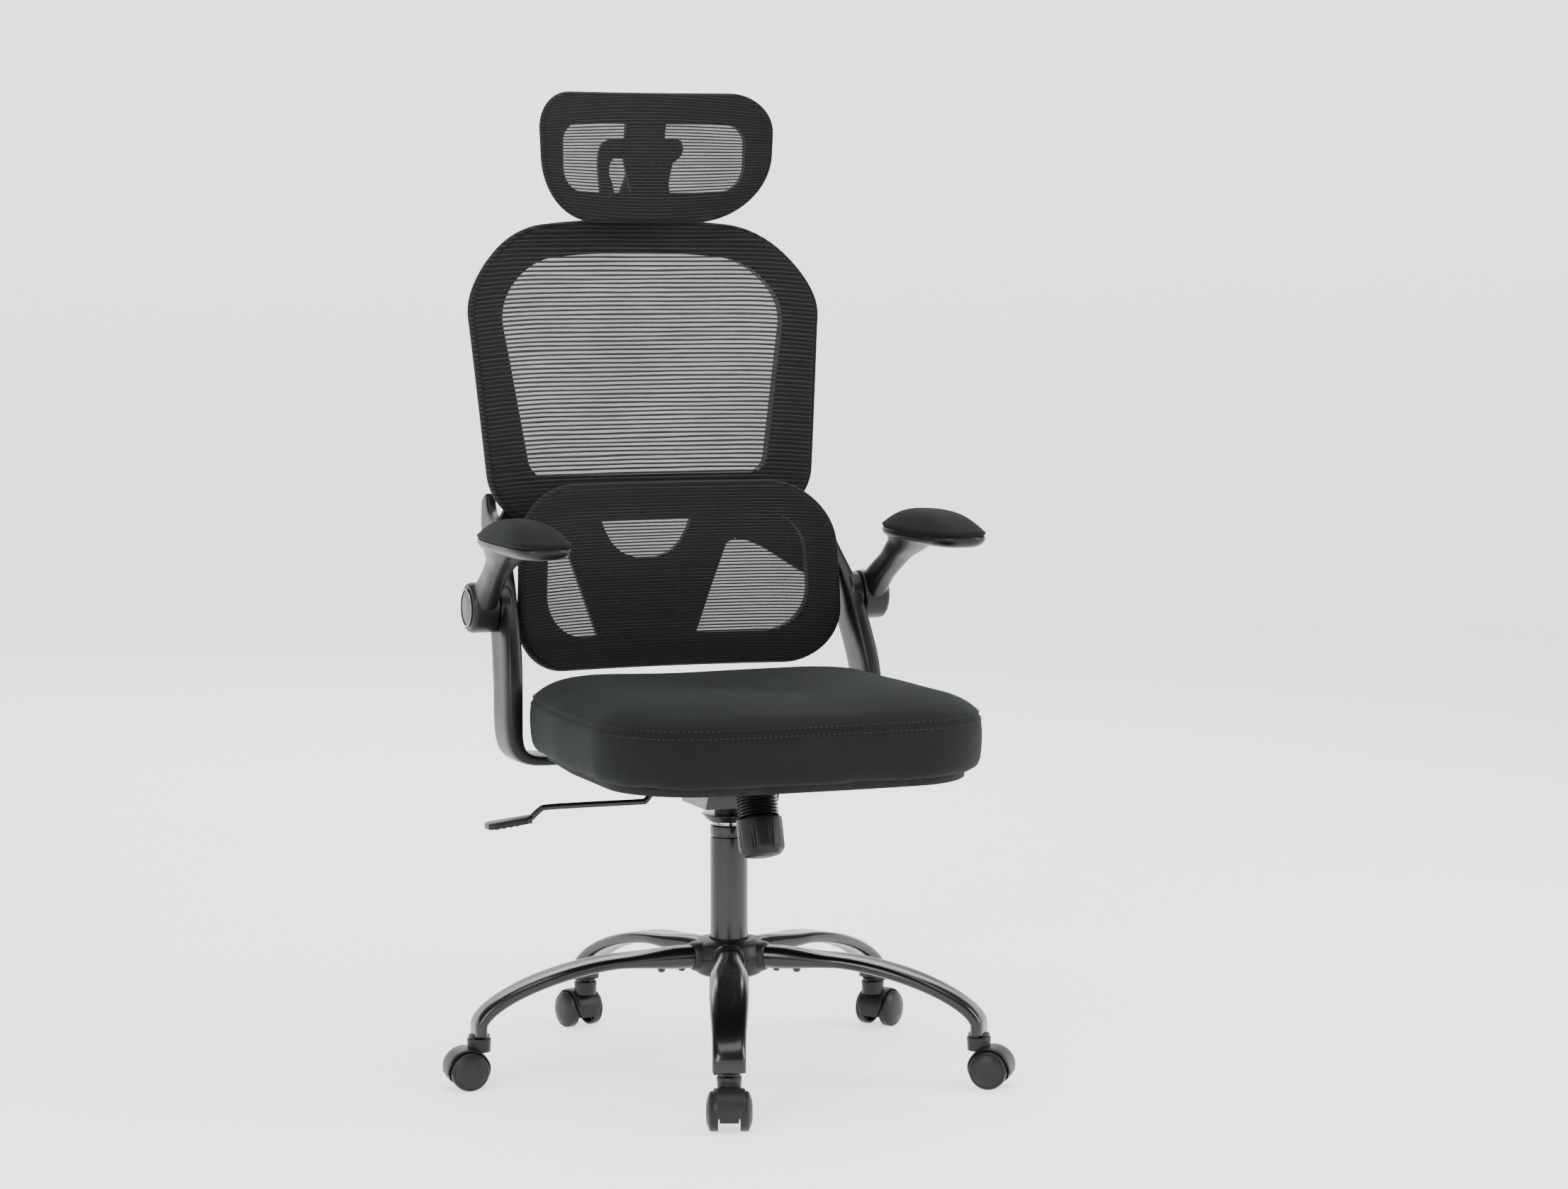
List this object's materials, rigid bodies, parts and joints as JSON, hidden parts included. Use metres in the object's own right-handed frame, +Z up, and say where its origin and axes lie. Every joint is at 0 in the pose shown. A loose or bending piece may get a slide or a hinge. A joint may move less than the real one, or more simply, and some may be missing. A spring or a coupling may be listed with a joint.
{
  "type": "swivel office chair",
  "caption": "Black swivel office chair with mesh back, lumbar support, headrest, flip-up armrests, gas lift and castors.",
  "frame": {"origin": "on the floor, under the middle of the chair's overall box", "axes": "+Z up, the chair's longest way; -Y the way a sitter faces; -X the sitter's right hand"},
  "size_m": [0.7204, 0.7984, 1.303],
  "materials": {
    "black_paint": "semi-gloss",
    "nylon": "satin",
    "plastic": "satin",
    "chrome": "polished",
    "steel": "zinc plated",
    "knit_fabric": "fine knit",
    "mesh_fabric": "ribbed mesh",
    "plywood": "raw"
  },
  "bodies": {
    "base": {"hub_socket": "steel", "hub_cover": "nylon", "leg_1": "black_paint", "leg_2": "black_paint", "leg_3": "black_paint", "leg_4": "black_paint", "leg_5": "black_paint", "castor_stem_1": "steel", "castor_stem_2": "steel", "castor_stem_3": "steel", "castor_stem_4": "steel", "castor_stem_5": "steel", "column_tube": "black_paint", "thrust_bearing": "steel"},
    "castor_1": {"castor_hood_1": "nylon", "castor_axle_1": "steel"},
    "wheel_1_left": {"wheel_1_left": "nylon"},
    "wheel_1_right": {"wheel_1_right": "nylon"},
    "castor_2": {"castor_hood_2": "nylon", "castor_axle_2": "steel"},
    "wheel_2_left": {"wheel_2_left": "nylon"},
    "wheel_2_right": {"wheel_2_right": "nylon"},
    "castor_3": {"castor_hood_3": "nylon", "castor_axle_3": "steel"},
    "wheel_3_left": {"wheel_3_left": "nylon"},
    "wheel_3_right": {"wheel_3_right": "nylon"},
    "castor_4": {"castor_hood_4": "nylon", "castor_axle_4": "steel"},
    "wheel_4_left": {"wheel_4_left": "nylon"},
    "wheel_4_right": {"wheel_4_right": "nylon"},
    "castor_5": {"castor_hood_5": "nylon", "castor_axle_5": "steel"},
    "wheel_5_left": {"wheel_5_left": "nylon"},
    "wheel_5_right": {"wheel_5_right": "nylon"},
    "swivel": {"piston_rod": "steel"},
    "lift": {"gas_cylinder": "chrome", "mechanism_housing": "black_paint"},
    "lever_turn": {"lever_bush": "nylon"},
    "lever": {"lever_rod": "black_paint", "lever_paddle": "plastic"},
    "seat": {"seat_plate": "black_paint", "tilt_pin": "steel", "tension_bolt": "steel", "tilt_spring": "nylon", "seat_board": "plywood", "seat_cushion": "knit_fabric", "upright_left": "plastic", "upright_right": "plastic", "back_frame": "plastic", "back_mesh": "mesh_fabric"},
    "knob": {"tension_knob": "plastic"},
    "armrest_left": {"arm_left": "plastic", "arm_pad_left": "knit_fabric"},
    "armrest_right": {"arm_right": "plastic", "arm_pad_right": "knit_fabric"},
    "lumbar": {"lumbar_frame": "plastic", "lumbar_mesh": "mesh_fabric"},
    "headrest_slide": {"headrest_post": "plastic"},
    "headrest": {"headrest_frame": "plastic", "headrest_mesh": "mesh_fabric"}
  },
  "joints": [
    {"name": "castor_1_swivel", "type": "hinge", "parent": "base", "child": "castor_1", "pos_m": [-0.08961, -0.35062, 0.05], "axis": [0, 0, 1], "continuous": true},
    {"name": "wheel_1_left_roll", "type": "hinge", "parent": "castor_1", "child": "wheel_1_left", "pos_m": [-0.09543, -0.36659, 0.02462], "axis": [0.9397, -0.342, 0], "continuous": true},
    {"name": "wheel_1_right_roll", "type": "hinge", "parent": "castor_1", "child": "wheel_1_right", "pos_m": [-0.09543, -0.36659, 0.02462], "axis": [0.9397, -0.342, 0], "continuous": true},
    {"name": "castor_2_swivel", "type": "hinge", "parent": "base", "child": "castor_2", "pos_m": [0.29799, -0.23947, 0.05], "axis": [0, 0, 1], "continuous": true},
    {"name": "wheel_2_left_roll", "type": "hinge", "parent": "castor_2", "child": "wheel_2_left", "pos_m": [0.31138, -0.24994, 0.02462], "axis": [0.6157, 0.788, 0], "continuous": true},
    {"name": "wheel_2_right_roll", "type": "hinge", "parent": "castor_2", "child": "wheel_2_right", "pos_m": [0.31138, -0.24994, 0.02462], "axis": [0.6157, 0.788, 0], "continuous": true},
    {"name": "castor_3_swivel", "type": "hinge", "parent": "base", "child": "castor_3", "pos_m": [0.31206, 0.1635, 0.05], "axis": [0, 0, 1], "continuous": true},
    {"name": "wheel_3_left_roll", "type": "hinge", "parent": "castor_3", "child": "wheel_3_left", "pos_m": [0.32615, 0.17301, 0.02462], "axis": [-0.5592, 0.829, 0], "continuous": true},
    {"name": "wheel_3_right_roll", "type": "hinge", "parent": "castor_3", "child": "wheel_3_right", "pos_m": [0.32615, 0.17301, 0.02462], "axis": [-0.5592, 0.829, 0], "continuous": true},
    {"name": "castor_4_swivel", "type": "hinge", "parent": "base", "child": "castor_4", "pos_m": [-0.06684, 0.30141, 0.05], "axis": [0, 0, 1], "continuous": true},
    {"name": "wheel_4_left_roll", "type": "hinge", "parent": "castor_4", "child": "wheel_4_left", "pos_m": [-0.07153, 0.31775, 0.02462], "axis": [-0.9613, -0.2756, 0], "continuous": true},
    {"name": "wheel_4_right_roll", "type": "hinge", "parent": "castor_4", "child": "wheel_4_right", "pos_m": [-0.07153, 0.31775, 0.02462], "axis": [-0.9613, -0.2756, 0], "continuous": true},
    {"name": "castor_5_swivel", "type": "hinge", "parent": "base", "child": "castor_5", "pos_m": [-0.31509, -0.01633, 0.05], "axis": [0, 0, 1], "continuous": true},
    {"name": "wheel_5_left_roll", "type": "hinge", "parent": "castor_5", "child": "wheel_5_left", "pos_m": [-0.33208, -0.01574, 0.02462], "axis": [-0.0349, -0.9994, 0], "continuous": true},
    {"name": "wheel_5_right_roll", "type": "hinge", "parent": "castor_5", "child": "wheel_5_right", "pos_m": [-0.33208, -0.01574, 0.02462], "axis": [-0.0349, -0.9994, 0], "continuous": true},
    {"name": "seat_swivel", "type": "hinge", "parent": "base", "child": "swivel", "pos_m": [0.0277, -0.0283, 0.25], "axis": [0, 0, 1], "continuous": true},
    {"name": "seat_height", "type": "slide", "parent": "swivel", "child": "lift", "axis": [0, 0, 1], "range_m": [0, 0.08]},
    {"name": "lever_lift", "type": "hinge", "parent": "lift", "child": "lever_turn", "pos_m": [-0.02105, -0.0283, 0.379], "axis": [0, 1, 0], "range_deg": [0, 4.5], "stiffness_Nm_per_rad": 1.5, "springref_deg": -3.44},
    {"name": "lever_slide", "type": "slide", "parent": "lever_turn", "child": "lever", "axis": [-1, 0, 0], "range_m": [0, 0.014]},
    {"name": "seat_tilt", "type": "hinge", "parent": "lift", "child": "seat", "pos_m": [0.0277, -0.0733, 0.3965], "axis": [-1, 0, 0], "range_deg": [0, 12], "stiffness_Nm_per_rad": 160, "springref_deg": -20.05, "deforming": ["tilt_spring"]},
    {"name": "knob_turn", "type": "hinge", "parent": "seat", "child": "knob", "pos_m": [0.0277, -0.1418, 0.353], "axis": [0, 0.309, 0.9511], "continuous": true},
    {"name": "armrest_left_flip", "type": "hinge", "parent": "seat", "child": "armrest_left", "pos_m": [0.2902, 0.1717, 0.61], "axis": [-1, 0, 0], "range_deg": [0, 85]},
    {"name": "armrest_right_flip", "type": "hinge", "parent": "seat", "child": "armrest_right", "pos_m": [-0.2348, 0.1717, 0.61], "axis": [-1, 0, 0], "range_deg": [0, 85]},
    {"name": "lumbar_height", "type": "slide", "parent": "seat", "child": "lumbar", "axis": [0, 0, 1], "range_m": [0, 0.04]},
    {"name": "headrest_height", "type": "slide", "parent": "seat", "child": "headrest_slide", "axis": [0, 0, 1], "range_m": [0, 0.05]},
    {"name": "headrest_tip", "type": "hinge", "parent": "headrest_slide", "child": "headrest", "pos_m": [0.0277, 0.3297, 1.205], "axis": [1, 0, 0], "range_deg": [-15, 20]}
  ]
}
